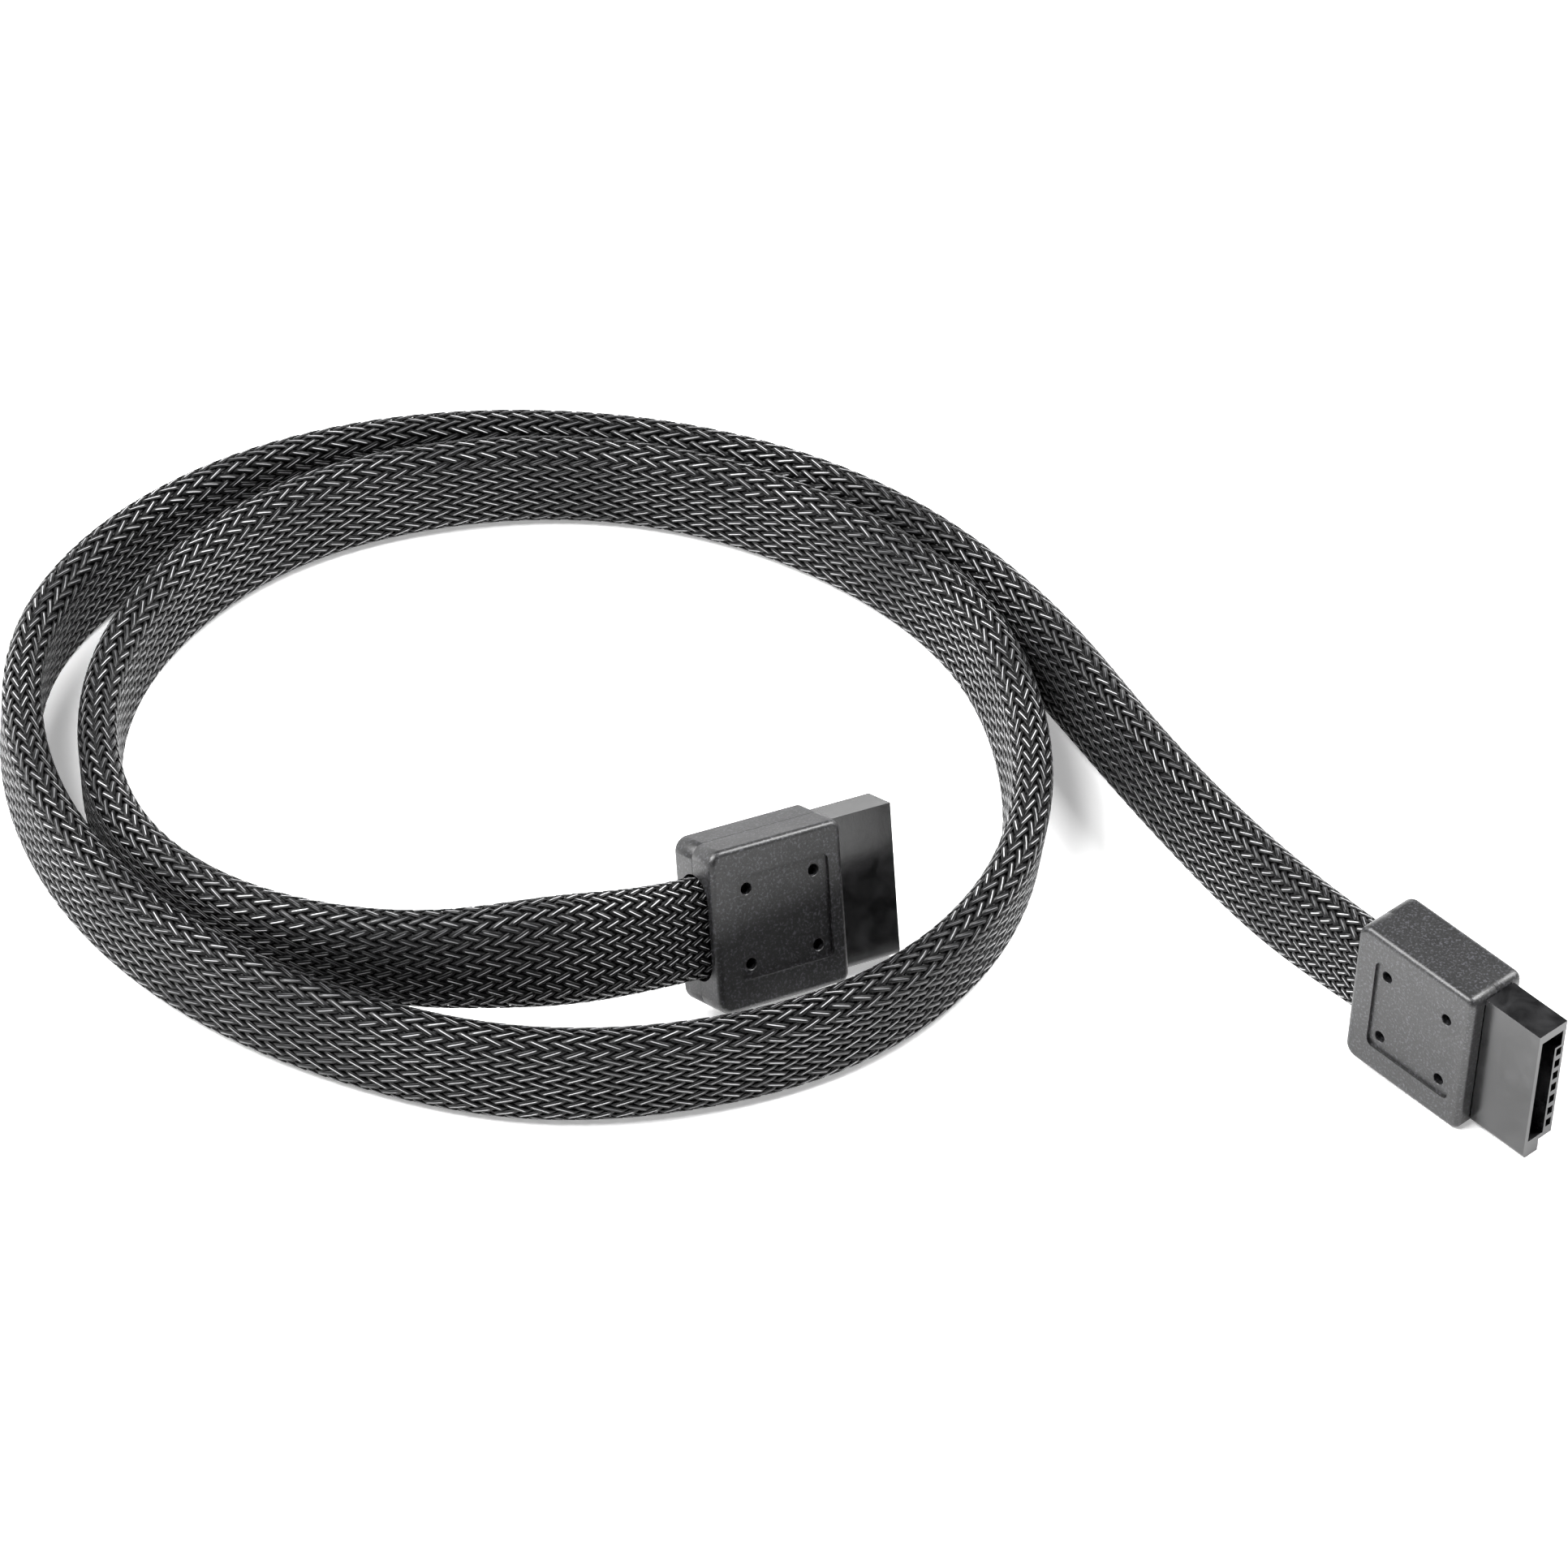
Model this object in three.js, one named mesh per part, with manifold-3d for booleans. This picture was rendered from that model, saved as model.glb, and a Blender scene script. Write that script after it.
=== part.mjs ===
// A flat data cable about half a metre long, in an open black braid, with a straight plug on each end.
// Millimetres, +Z up. The cable stands on its narrow edge on the surface z = 0, in a loop of about one
// and a half turns, and each plug rests on its lower edge. The origin lies on the surface, under the
// middle of the two plugs.
import * as THREE from "three";
import { RoundedBoxGeometry } from "three/addons/geometries/RoundedBoxGeometry.js";
import { mergeVertices } from "three/addons/utils/BufferGeometryUtils.js";
import Module from "manifold-3d";

const wasm = await Module();
wasm.setup();

// Clearances
const GAP = 0.2; // between pieces that touch on the real cable
const CUT = 1; // how far a cutting solid reaches past the face that it cuts

// Cable section: thickness, width
const SLEEVE = { thick: 3.5, wide: 8.6, wall: 0.4 };
const JACKET_INSET = 2 * (SLEEVE.wall + GAP);
const JACKET = { thick: SLEEVE.thick - JACKET_INSET, wide: SLEEVE.wide - JACKET_INSET };
const PAIR = { thick: 1.0, wide: 2.5, pitch: 3.4 };

// Fineness: stations along the cable, samples for its length, and facets on rounded shapes
const STEPS = 72;
const LEAST_STEP = 1; // no shared station lies closer than this to a tube's own end
const LENGTH_SAMPLES = 1200;
const FACETS = { cable: 5, pair: 3, gripCorner: 4, panelCorner: 3, noseCorner: 4, edge: 2, hole: 16 };

// Plug frame: +X towards the mouth, Y across the thickness, Z across the width,
// origin at the middle of the grip's face on the mouth side
const GRIP = { long: 12.4, thick: 5.7, wide: 13.9, edge: 0.45, corner: 1.2, frontCorner: 0.6 };
const PANEL = { long: 8.8, wide: 8.9, middle: -5.8, deep: 0.25, corner: 0.6 };
const PIN_HOLE = { r: 0.5, pitch: 6.4, middle: -5.9 };
const POCKET_DEEP = 1.2;
const NOSE = { long: 5.75, thick: 3.15, wide: 13.1, offset: 0.18, corner: 0.5 };
const ROOT = { long: 3, thick: 2.9, wide: 11.6, offset: NOSE.offset };
const MOULD = { long: 6.4, thick: 3.3, wide: 11, edge: 0.3 };
const KEYWAY = { nearWall: 0.4, slot: 1.7, topWall: 0.85, long: 10.57, leg: 2.4, legWide: 1.5, deep: 5.4 };
const NOTCH = { wide: 1.2, thick: 1.45 }; // the corner missing along the nose's lower back edge
const CONTACTS = { count: 7, pitch: 1.27, first: 3.58, wide: 0.5, thick: 0.3, from: 2.45, recess: 0.4 };
const CONTACT_CLEAR = 0.14;

// The two plugs: middle of the grip's mouth side, then the turns about Z, Y and X in degrees.
// The heights set the lowest edge of each plug on the surface.
const PLUG_A = { at: [-22.7, 9, 7.22], yaw: 32.3, pitch: 7.3, lean: -18.4 };
const PLUG_B = { at: [29.4, -10.75, 6.92], yaw: -47, pitch: 3.8, lean: 0.2 };

// Route of the cable from plug A to plug B: x, y, lean in degrees (top outwards), lift off the surface
const ROUTE = [
  [-44.8, -2.5, -14, 5.5], [-58, -1.5, 3, 4.4], [-70.3, 4.6, 6, 2.5], [-79.5, 15.1, 5, 1],
  [-83.5, 27.9, 0, 0], [-83.1, 41.7, 0, 0], [-77.4, 54.3, 0, 0], [-68.3, 64.2, 3, 0],
  [-55.8, 69.2, 0, 0], [-42.1, 70.1, -4, 0], [-29, 65.8, -3, 0], [-17.5, 57.5, 3, 0],
  [-9.2, 46.5, 8, 0], [-5.7, 32.1, 7, 0], [-5.9, 17.5, 9, 0], [-11, 4.7, 6, 0],
  [-20.5, -4.8, 6, 0], [-33, -9.7, 3, 0], [-46.6, -10.9, -3, 0], [-59, -7, -2, 0],
  [-70.6, -0.4, -7, 0], [-80.2, 9, -7, 0], [-87.1, 20.5, -4, 0], [-90.4, 33.4, -6, 0],
  [-90, 46.1, -5, 0], [-83.9, 58, 1, 0], [-73.7, 67.5, 0, 0], [-60.8, 73, -5, 0],
  [-46.2, 74.3, -9, 0], [-31.7, 71.4, -9, 0], [-19.2, 64.5, -5, 0], [-9.8, 54.3, 3, 0],
  [-2.9, 42.6, 9, 0.3], [2.2, 30.5, 4, 1.1], [7.6, 18.8, 3, 2.1], [13.6, 8, 7, 2.8],
];
const STRAIGHT = 5; // length over which the cable leaves each plug along its axis

const black = (roughness, color = 0x141414) =>
  new THREE.MeshStandardMaterial({ color, roughness, metalness: 0 });
const LOOK = {
  grip: black(0.65, 0x1a1a1a),
  nose: black(0.5),
  mould: black(0.6, 0x202020),
  sleeve: black(0.55, 0x101010),
  jacket: black(0.5, 0x3a3a3c),
  contact: new THREE.MeshStandardMaterial({ color: 0xc9a54e, roughness: 0.3, metalness: 1 }),
  foil: new THREE.MeshStandardMaterial({ color: 0xb8babd, roughness: 0.35, metalness: 1 }),
};

const root = new THREE.Group();

function meshOf(name, geometry, material) {
  const mesh = new THREE.Mesh(geometry, material);
  mesh.name = name;
  return mesh;
}

// Booleans
function solid(geometry) {
  const bare = geometry.index ? geometry.toNonIndexed() : geometry.clone();
  bare.deleteAttribute("normal");
  bare.deleteAttribute("uv");
  const merged = mergeVertices(bare, 1e-4);
  return new wasm.Manifold(
    new wasm.Mesh({
      numProp: 3,
      vertProperties: new Float32Array(merged.attributes.position.array),
      triVerts: new Uint32Array(merged.index.array),
    }),
  );
}

function geometryOf(manifold) {
  const made = manifold.getMesh();
  const geometry = new THREE.BufferGeometry();
  geometry.setAttribute("position", new THREE.BufferAttribute(made.vertProperties, 3));
  geometry.setIndex(new THREE.BufferAttribute(made.triVerts, 1));
  geometry.computeVertexNormals();
  return geometry;
}

// A box in the plug frame, from its low to its high corner
function box(x0, y0, z0, x1, y1, z1) {
  const geometry = new THREE.BoxGeometry(x1 - x0, y1 - y0, z1 - z0);
  geometry.translate((x0 + x1) / 2, (y0 + y1) / 2, (z0 + z1) / 2);
  return geometry;
}

// An outline in the plug's X-Z plane with a radius at each corner
function roundedOutline(x0, z0, x1, z1, rearRadius, frontRadius) {
  const shape = new THREE.Shape();
  const quarter = Math.PI / 2;
  shape.absarc(x0 + rearRadius, z0 + rearRadius, rearRadius, 2 * quarter, 3 * quarter);
  shape.absarc(x1 - frontRadius, z0 + frontRadius, frontRadius, 3 * quarter, 4 * quarter);
  shape.absarc(x1 - frontRadius, z1 - frontRadius, frontRadius, 0, quarter);
  shape.absarc(x0 + rearRadius, z1 - rearRadius, rearRadius, quarter, 2 * quarter);
  return shape;
}

// Extrudes an X-Z outline through the thickness, from y0 to y1, with rounded edges if asked
function acrossThickness(shape, y0, y1, edge, curveSegments) {
  const geometry = new THREE.ExtrudeGeometry(shape, {
    depth: y1 - y0 - 2 * edge,
    bevelEnabled: edge > 0,
    bevelThickness: edge,
    bevelSize: edge,
    bevelOffset: -edge,
    bevelSegments: FACETS.edge,
    curveSegments,
  });
  geometry.rotateX(Math.PI / 2);
  geometry.translate(0, y1 - edge, 0);
  return geometry;
}

// Cable sections: a flat oval with so many facets round each end
function ovalPoints(thick, wide, facets = FACETS.cable) {
  const r = thick / 2;
  const points = [];
  for (const end of [1, -1])
    for (let i = 0; i <= facets; i++) {
      const angle = (Math.PI * i) / facets;
      const y = wide / 2 - r + r * Math.sin(angle);
      points.push(new THREE.Vector2(end * r * Math.cos(angle), end * y));
    }
  return points;
}
const moved = (points, dy) => points.map((p) => new THREE.Vector2(p.x, p.y + dy));

// Route
const turns = (plug) =>
  new THREE.Euler(...[plug.lean, plug.pitch, plug.yaw].map(THREE.MathUtils.degToRad), "ZYX");
const inWorld = (plug, x) =>
  new THREE.Vector3(x, 0, 0).applyEuler(turns(plug)).add(new THREE.Vector3(...plug.at));
const MOULD_REAR = -ROOT.long - GAP - MOULD.long;
const CABLE_END = MOULD_REAR - GAP;
const SLEEVE_END = -GRIP.long + POCKET_DEEP - GAP;

const heightOf = (lean, lift) =>
  SLEEVE.thick / 2 + (Math.cos(lean) * (SLEEVE.wide - SLEEVE.thick)) / 2 + lift;

// The route is a uniform cubic B-spline through x, y, lean and lift, which starts and ends
// exactly at the plugs and straight along their axes.
const ROWS_PER_SPAN = 4;
class CableRoute extends THREE.Curve {
  constructor() {
    super();
    this.arcLengthDivisions = LENGTH_SAMPLES;
    const end = (plug, x, leanSign) => {
      const p = inWorld(plug, x);
      const lean = leanSign * plug.lean;
      const lift = p.z - heightOf(THREE.MathUtils.degToRad(lean), 0);
      return [p.x, p.y, lean, lift];
    };
    const rows = [
      end(PLUG_A, CABLE_END, 1),
      end(PLUG_A, CABLE_END - STRAIGHT, 1),
      ...ROUTE,
      end(PLUG_B, CABLE_END - STRAIGHT, -1),
      end(PLUG_B, CABLE_END, -1),
    ];
    const phantom = (p, q) => p.map((v, k) => 2 * v - q[k]);
    this.rows = [phantom(rows[0], rows[1]), ...rows, phantom(rows.at(-1), rows.at(-2))];
  }
  at(t) {
    const last = this.rows.length - ROWS_PER_SPAN;
    const place = Math.min(t * (last + 1), last + 1);
    const i = Math.min(Math.floor(place), last);
    const s = place - i;
    const weights = [
      (1 - s) ** 3,
      3 * s ** 3 - 6 * s ** 2 + 4,
      -3 * s ** 3 + 3 * s ** 2 + 3 * s + 1,
      s ** 3,
    ];
    const mixed = (k) => weights.reduce((sum, w, j) => sum + (w * this.rows[i + j][k]) / 6, 0);
    return [0, 1, 2, 3].map(mixed);
  }
  getPoint(t, target = new THREE.Vector3()) {
    const [x, y, lean, lift] = this.at(t);
    return target.set(x, y, heightOf(THREE.MathUtils.degToRad(lean), lift));
  }
}
const route = new CableRoute();
const ROUTE_LENGTH = route.getLength();

// The same route seen by an extrusion: its stations, and upright frames that follow the lean
class Lay extends THREE.Curve {
  constructor(from, to) {
    super();
    const shared = Array.from({ length: STEPS + 1 }, (_, i) => (i * ROUTE_LENGTH) / STEPS);
    const inside = shared.filter((s) => s > from + LEAST_STEP && s < to - LEAST_STEP);
    const places = [from, ...inside, to];
    this.params = places.map((s) => route.getUtoTmapping(s / ROUTE_LENGTH));
  }
  getPoint(t) {
    return route.getPoint(t);
  }
  getSpacedPoints() {
    return this.params.map((t) => route.getPoint(t));
  }
  computeFrenetFrames() {
    const up = new THREE.Vector3(0, 0, 1);
    const tangents = this.params.map((t) => route.getTangent(t));
    const binormals = tangents.map((tangent, i) => {
      const lean = THREE.MathUtils.degToRad(route.at(this.params[i])[2]);
      const left = up.clone().cross(tangent).normalize();
      const width = up.clone().multiplyScalar(Math.cos(lean)).addScaledVector(left, Math.sin(lean));
      return width.addScaledVector(tangent, -width.dot(tangent)).normalize();
    });
    const normals = tangents.map((tangent, i) => binormals[i].clone().cross(tangent));
    return { tangents, normals, binormals };
  }
  get steps() {
    return this.params.length - 1;
  }
}

function tube(name, lay, outer, holes, material) {
  const shape = new THREE.Shape(outer);
  shape.holes = holes.map((points) => new THREE.Path(points));
  const geometry = new THREE.ExtrudeGeometry(shape, { steps: lay.steps, extrudePath: lay });
  root.add(meshOf(name, geometry, material));
}

const wholeLay = new Lay(0, ROUTE_LENGTH);
const sleeveInset = CABLE_END - SLEEVE_END;
const sleeveLay = new Lay(sleeveInset, ROUTE_LENGTH - sleeveInset);
const sleeveHole = ovalPoints(SLEEVE.thick - 2 * SLEEVE.wall, SLEEVE.wide - 2 * SLEEVE.wall);
tube("braided_sleeve", sleeveLay, ovalPoints(SLEEVE.thick, SLEEVE.wide), [sleeveHole], LOOK.sleeve);

const channel = ovalPoints(PAIR.thick + 2 * GAP, PAIR.wide + 2 * GAP, FACETS.pair);
const offsets = [PAIR.pitch / 2, -PAIR.pitch / 2];
const channels = offsets.map((dy) => moved(channel, dy));
tube("cable_jacket", wholeLay, ovalPoints(JACKET.thick, JACKET.wide), channels, LOOK.jacket);
offsets.forEach((dy, i) => {
  const section = moved(ovalPoints(PAIR.thick, PAIR.wide, FACETS.pair), dy);
  tube("shielded_pair_" + (i + 1), wholeLay, section, [], LOOK.foil);
});

// Grip: outer body with its sunk panel, four pin holes, a cavity open towards the mouth
// and a pocket and channel for the cable
function gripSolid() {
  const { long, thick, wide, edge, corner, frontCorner } = GRIP;
  const outline = roundedOutline(-long, -wide / 2, 0, wide / 2, corner, frontCorner);
  let body = solid(acrossThickness(outline, -thick / 2, thick / 2, edge, FACETS.gripCorner));
  const half = PANEL.wide / 2;
  const x0 = PANEL.middle - PANEL.long / 2;
  const panel = roundedOutline(x0, -half, x0 + PANEL.long, half, PANEL.corner, PANEL.corner);
  const [outside, floor] = [-thick / 2 - CUT, -thick / 2 + PANEL.deep];
  body = body.subtract(solid(acrossThickness(panel, outside, floor, 0, FACETS.panelCorner)));

  const room = (piece, rear, front) => {
    const y = piece.thick / 2 + GAP;
    const z = piece.wide / 2 + GAP;
    return solid(box(rear, (piece.offset ?? 0) - y, -z, front, (piece.offset ?? 0) + y, z));
  };
  body = body.subtract(room(ROOT, -ROOT.long - 2 * GAP, CUT));
  body = body.subtract(room(MOULD, CABLE_END, -ROOT.long));
  const holeDeep = thick / 2 + CUT;
  for (const x of [-1, 1])
    for (const z of [-1, 1]) {
      const hole = new THREE.CylinderGeometry(PIN_HOLE.r, PIN_HOLE.r, holeDeep, FACETS.hole);
      hole.translate((x * PIN_HOLE.pitch) / 2, 0, (z * PIN_HOLE.pitch) / 2);
      hole.translate(PIN_HOLE.middle, -(holeDeep + CUT) / 2, 0);
      body = body.subtract(solid(hole));
    }
  const cableRoom = (section, from, to) => {
    const shape = new THREE.Shape(ovalPoints(section.thick + 2 * GAP, section.wide + 2 * GAP));
    const geometry = new THREE.ExtrudeGeometry(shape, { depth: to - from, bevelEnabled: false });
    geometry.rotateX(Math.PI / 2).rotateZ(Math.PI / 2);
    geometry.translate(from, 0, 0);
    return solid(geometry);
  };
  body = body.subtract(cableRoom(SLEEVE, -long - CUT, -long + POCKET_DEEP));
  return body.subtract(cableRoom(JACKET, -long - CUT, CABLE_END + CUT));
}

// Nose: the housing that goes into the socket, with its L-shaped keyway and seven contact channels
const NOSE_NEAR = NOSE.offset - NOSE.thick / 2;
const NOSE_FAR = NOSE.offset + NOSE.thick / 2;
const NOSE_TOP = NOSE.wide / 2;
const contactMiddle = (_, i) => CONTACTS.first - i * CONTACTS.pitch;
const contactMiddles = Array.from({ length: CONTACTS.count }, contactMiddle);

function contactBar(z, clear) {
  const y = NOSE_NEAR + CONTACTS.from;
  const front = clear ? NOSE.long + CUT : NOSE.long - CONTACTS.recess;
  const rear = -ROOT.long - (clear ? CUT : 0);
  const half = CONTACTS.wide / 2 + clear;
  return box(rear, y - clear, z - half, front, y + CONTACTS.thick + clear, z + half);
}

function noseSolid() {
  const outline = new THREE.Shape();
  outline.moveTo(NOSE_NEAR, NOSE_TOP);
  outline.lineTo(NOSE_NEAR, -NOSE_TOP + NOSE.corner);
  const [cornerY, cornerZ] = [NOSE_NEAR + NOSE.corner, -NOSE_TOP + NOSE.corner];
  outline.absarc(cornerY, cornerZ, NOSE.corner, Math.PI, 1.5 * Math.PI);
  outline.lineTo(NOSE_FAR - NOTCH.thick, -NOSE_TOP);
  outline.lineTo(NOSE_FAR - NOTCH.thick, -NOSE_TOP + NOTCH.wide);
  outline.lineTo(NOSE_FAR, -NOSE_TOP + NOTCH.wide);
  outline.lineTo(NOSE_FAR, NOSE_TOP);
  const bar = new THREE.ExtrudeGeometry(outline, {
    depth: NOSE.long - GAP,
    bevelEnabled: false,
    curveSegments: FACETS.noseCorner,
  });
  bar.rotateX(Math.PI / 2).rotateZ(Math.PI / 2).translate(GAP, 0, 0);
  const half = ROOT.wide / 2;
  const [low, high] = [ROOT.offset - ROOT.thick / 2, ROOT.offset + ROOT.thick / 2];
  let body = solid(bar).add(solid(box(-ROOT.long, low, -half, GAP + CUT, high, half)));

  const near = NOSE_NEAR + KEYWAY.nearWall;
  const top = NOSE_TOP - KEYWAY.topWall;
  const deep = NOSE.long - KEYWAY.deep;
  const mouth = NOSE.long + CUT;
  body = body.subtract(solid(box(deep, near, top - KEYWAY.long, mouth, near + KEYWAY.slot, top)));
  body = body.subtract(solid(box(deep, near, top - KEYWAY.legWide, mouth, near + KEYWAY.leg, top)));
  for (const z of contactMiddles) body = body.subtract(solid(contactBar(z, CONTACT_CLEAR)));
  return body;
}

// The moulded block inside the grip, where the pairs are joined to the contacts
function mouldGeometry() {
  const { long, thick, wide, edge } = MOULD;
  const geometry = new RoundedBoxGeometry(long, thick, wide, FACETS.edge, edge);
  return geometry.translate(MOULD_REAR + long / 2, 0, 0);
}

function addPlug(end, plug) {
  const group = new THREE.Group();
  group.position.set(...plug.at);
  group.rotation.copy(turns(plug));
  group.add(meshOf("grip_" + end, geometryOf(gripSolid()), LOOK.grip));
  group.add(meshOf("nose_housing_" + end, geometryOf(noseSolid()), LOOK.nose));
  group.add(meshOf("inner_mould_" + end, mouldGeometry(), LOOK.mould));
  contactMiddles.forEach((z, i) => {
    group.add(meshOf(`contact_${end}_${i + 1}`, contactBar(z, 0), LOOK.contact));
  });
  root.add(group);
}
addPlug("a", PLUG_A);
addPlug("b", PLUG_B);

export default root;
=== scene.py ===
# A flat data cable in an open black braid, in a loop on a pale table, with a plug on each end.
import math

import bmesh
import bpy
import numpy as np
from mathutils import Euler, Matrix, Vector


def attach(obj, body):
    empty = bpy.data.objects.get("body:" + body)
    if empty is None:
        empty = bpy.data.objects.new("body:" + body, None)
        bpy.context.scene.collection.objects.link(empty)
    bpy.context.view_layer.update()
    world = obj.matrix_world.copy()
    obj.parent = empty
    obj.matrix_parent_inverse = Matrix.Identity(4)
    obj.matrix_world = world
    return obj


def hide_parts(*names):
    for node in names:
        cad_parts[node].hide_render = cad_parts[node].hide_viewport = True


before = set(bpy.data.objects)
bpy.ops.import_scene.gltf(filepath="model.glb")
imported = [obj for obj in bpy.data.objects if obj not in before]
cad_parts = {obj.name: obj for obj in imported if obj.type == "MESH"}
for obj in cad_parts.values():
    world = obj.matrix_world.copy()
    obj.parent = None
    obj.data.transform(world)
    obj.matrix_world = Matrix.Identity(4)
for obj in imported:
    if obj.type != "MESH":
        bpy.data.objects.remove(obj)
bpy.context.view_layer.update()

MM = 0.001

# Camera: the photograph's angle, from a little over half a metre away
IMAGE_PX = 1932
FOCAL_PX = 9292
SENSOR_MM = 36
ELEVATION = math.radians(38.69)
DISTANCE = 628 * MM
LOOK_AT = Vector((-26.32, 27.97, 0)) * MM
LOOK_AT_OFF_PX = (-3, 37)  # right and down of the image's middle
CLIP_START = 20 * MM


def add_camera():
    data = bpy.data.cameras.new("camera")
    data.sensor_width = SENSOR_MM
    data.lens = FOCAL_PX / IMAGE_PX * SENSOR_MM
    data.shift_x = -LOOK_AT_OFF_PX[0] / IMAGE_PX
    data.shift_y = LOOK_AT_OFF_PX[1] / IMAGE_PX
    data.clip_start = CLIP_START
    camera = bpy.data.objects.new("camera", data)
    bpy.context.collection.objects.link(camera)
    away = Vector((0, -math.cos(ELEVATION), math.sin(ELEVATION)))
    camera.location = LOOK_AT + DISTANCE * away
    camera.rotation_euler = (math.pi / 2 - ELEVATION, 0, 0)
    bpy.context.scene.camera = camera


# Route, in millimetres: x, y, lean in degrees (top outwards), lift off the table
ROUTE = [
    (-44.8, -2.5, -14, 5.5), (-58, -1.5, 3, 4.4), (-70.3, 4.6, 6, 2.5), (-79.5, 15.1, 5, 1),
    (-83.5, 27.9, 0, 0), (-83.1, 41.7, 0, 0), (-77.4, 54.3, 0, 0), (-68.3, 64.2, 3, 0),
    (-55.8, 69.2, 0, 0), (-42.1, 70.1, -4, 0), (-29, 65.8, -3, 0), (-17.5, 57.5, 3, 0),
    (-9.2, 46.5, 8, 0), (-5.7, 32.1, 7, 0), (-5.9, 17.5, 9, 0), (-11, 4.7, 6, 0),
    (-20.5, -4.8, 6, 0), (-33, -9.7, 3, 0), (-46.6, -10.9, -3, 0), (-59, -7, -2, 0),
    (-70.6, -0.4, -7, 0), (-80.2, 9, -7, 0), (-87.1, 20.5, -4, 0), (-90.4, 33.4, -6, 0),
    (-90, 46.1, -5, 0), (-83.9, 58, 1, 0), (-73.7, 67.5, 0, 0), (-60.8, 73, -5, 0),
    (-46.2, 74.3, -9, 0), (-31.7, 71.4, -9, 0), (-19.2, 64.5, -5, 0), (-9.8, 54.3, 3, 0),
    (-2.9, 42.6, 9, 0.3), (2.2, 30.5, 4, 1.1), (7.6, 18.8, 3, 2.1), (13.6, 8, 7, 2.8),
]
STRAIGHT = 5  # the cable leaves each plug along its axis for this length
SLEEVE_THICK = 3.5
SLEEVE_WIDE = 8.6

# Plugs, in millimetres: middle of the grip's mouth side, then the turns in degrees.
# In a plug's own frame X points to the mouth, Y goes through the thickness and Z across the width.
PLUGS = {
    "a": {"at": (-22.7, 9, 7.22), "yaw": 32.3, "pitch": 7.3, "lean": -18.4},
    "b": {"at": (29.4, -10.75, 6.92), "yaw": -47, "pitch": 3.8, "lean": 0.2},
}
GRIP_LONG, GRIP_THICK, GRIP_WIDE = 12.4, 5.7, 13.9
POCKET_DEEP = 1.2
GAP = 0.2
CABLE_END = -9.8
SLEEVE_END = -GRIP_LONG + POCKET_DEEP - GAP


def plug_matrix(plug):
    """The plug's frame in millimetres."""
    turn = Euler([math.radians(plug[k]) for k in ("lean", "pitch", "yaw")], "XYZ")
    return Matrix.Translation(plug["at"]) @ turn.to_matrix().to_4x4()


def height_of(lean, lift):
    return SLEEVE_THICK / 2 + np.cos(lean) * (SLEEVE_WIDE - SLEEVE_THICK) / 2 + lift


def route_rows():
    def end(plug, x, sense):
        p = plug_matrix(plug) @ Vector((x, 0, 0))
        lean = math.radians(sense * plug["lean"])
        return (p.x, p.y, lean, p.z - height_of(lean, 0))

    listed = [(x, y, math.radians(lean), lift) for x, y, lean, lift in ROUTE]
    a, b = PLUGS["a"], PLUGS["b"]
    rows = [end(a, CABLE_END, 1), end(a, CABLE_END - STRAIGHT, 1), *listed]
    rows += [end(b, CABLE_END - STRAIGHT, -1), end(b, CABLE_END, -1)]
    rows = np.array(rows)
    return np.vstack([2 * rows[0] - rows[1], rows, 2 * rows[-1] - rows[-2]])


class Route:
    """The cable's middle line as a uniform cubic B-spline, looked up by length from plug a."""

    FINE = 120

    def __init__(self):
        rows = route_rows()
        spans = len(rows) - 3
        t = np.linspace(0, spans, spans * self.FINE + 1)
        i = np.minimum(t.astype(int), spans - 1)
        s = (t - i)[:, None]
        weights = ((1 - s) ** 3, 3 * s**3 - 6 * s**2 + 4, -3 * s**3 + 3 * s**2 + 3 * s + 1, s**3)
        mixed = sum(w * rows[i + k] for k, w in enumerate(weights)) / 6
        self.lean = mixed[:, 2]
        self.middle = np.c_[mixed[:, :2], height_of(self.lean, mixed[:, 3])]
        steps = np.linalg.norm(np.diff(self.middle, axis=0), axis=1)
        self.place = np.r_[0, np.cumsum(steps)]
        self.length = self.place[-1]
        self.tangent = np.gradient(self.middle, self.place, axis=0)

    def _at(self, table, s):
        return np.stack([np.interp(s, self.place, table[:, k]) for k in range(3)], axis=-1)

    def frames(self, s):
        """Middle, direction through the thickness and direction across the width, at lengths s."""
        middle = self._at(self.middle, s)
        tangent = self._at(self.tangent, s)
        tangent /= np.linalg.norm(tangent, axis=-1, keepdims=True)
        lean = np.interp(s, self.place, self.lean)[..., None]
        left = np.cross([0.0, 0.0, 1.0], tangent)
        left /= np.linalg.norm(left, axis=-1, keepdims=True)
        across = np.cos(lean) * np.array([0.0, 0.0, 1.0]) + np.sin(lean) * left
        across -= tangent * (across * tangent).sum(-1, keepdims=True)
        across /= np.linalg.norm(across, axis=-1, keepdims=True)
        return middle, np.cross(across, tangent), across


route = Route()


def section(girth, thick, wide):
    """Points and outward directions on a flat oval, at shares girth of the way round it."""
    r = thick / 2
    flat = wide - thick
    round_end = math.pi * r
    total = 2 * (flat + round_end)
    g = np.mod(girth, 1) * total
    second = g >= flat + round_end
    g = np.where(second, g - flat - round_end, g)
    on_flat = g < flat
    angle = np.clip((g - flat) / r, 0, math.pi)
    x = np.where(on_flat, r, r * np.cos(angle))
    y = np.where(on_flat, g - flat / 2, flat / 2 + r * np.sin(angle))
    out_x = np.where(on_flat, 1.0, np.cos(angle))
    out_y = np.where(on_flat, 0.0, np.sin(angle))
    sign = np.where(second, -1.0, 1.0)
    return sign * x, sign * y, sign * out_x, sign * out_y


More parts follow.
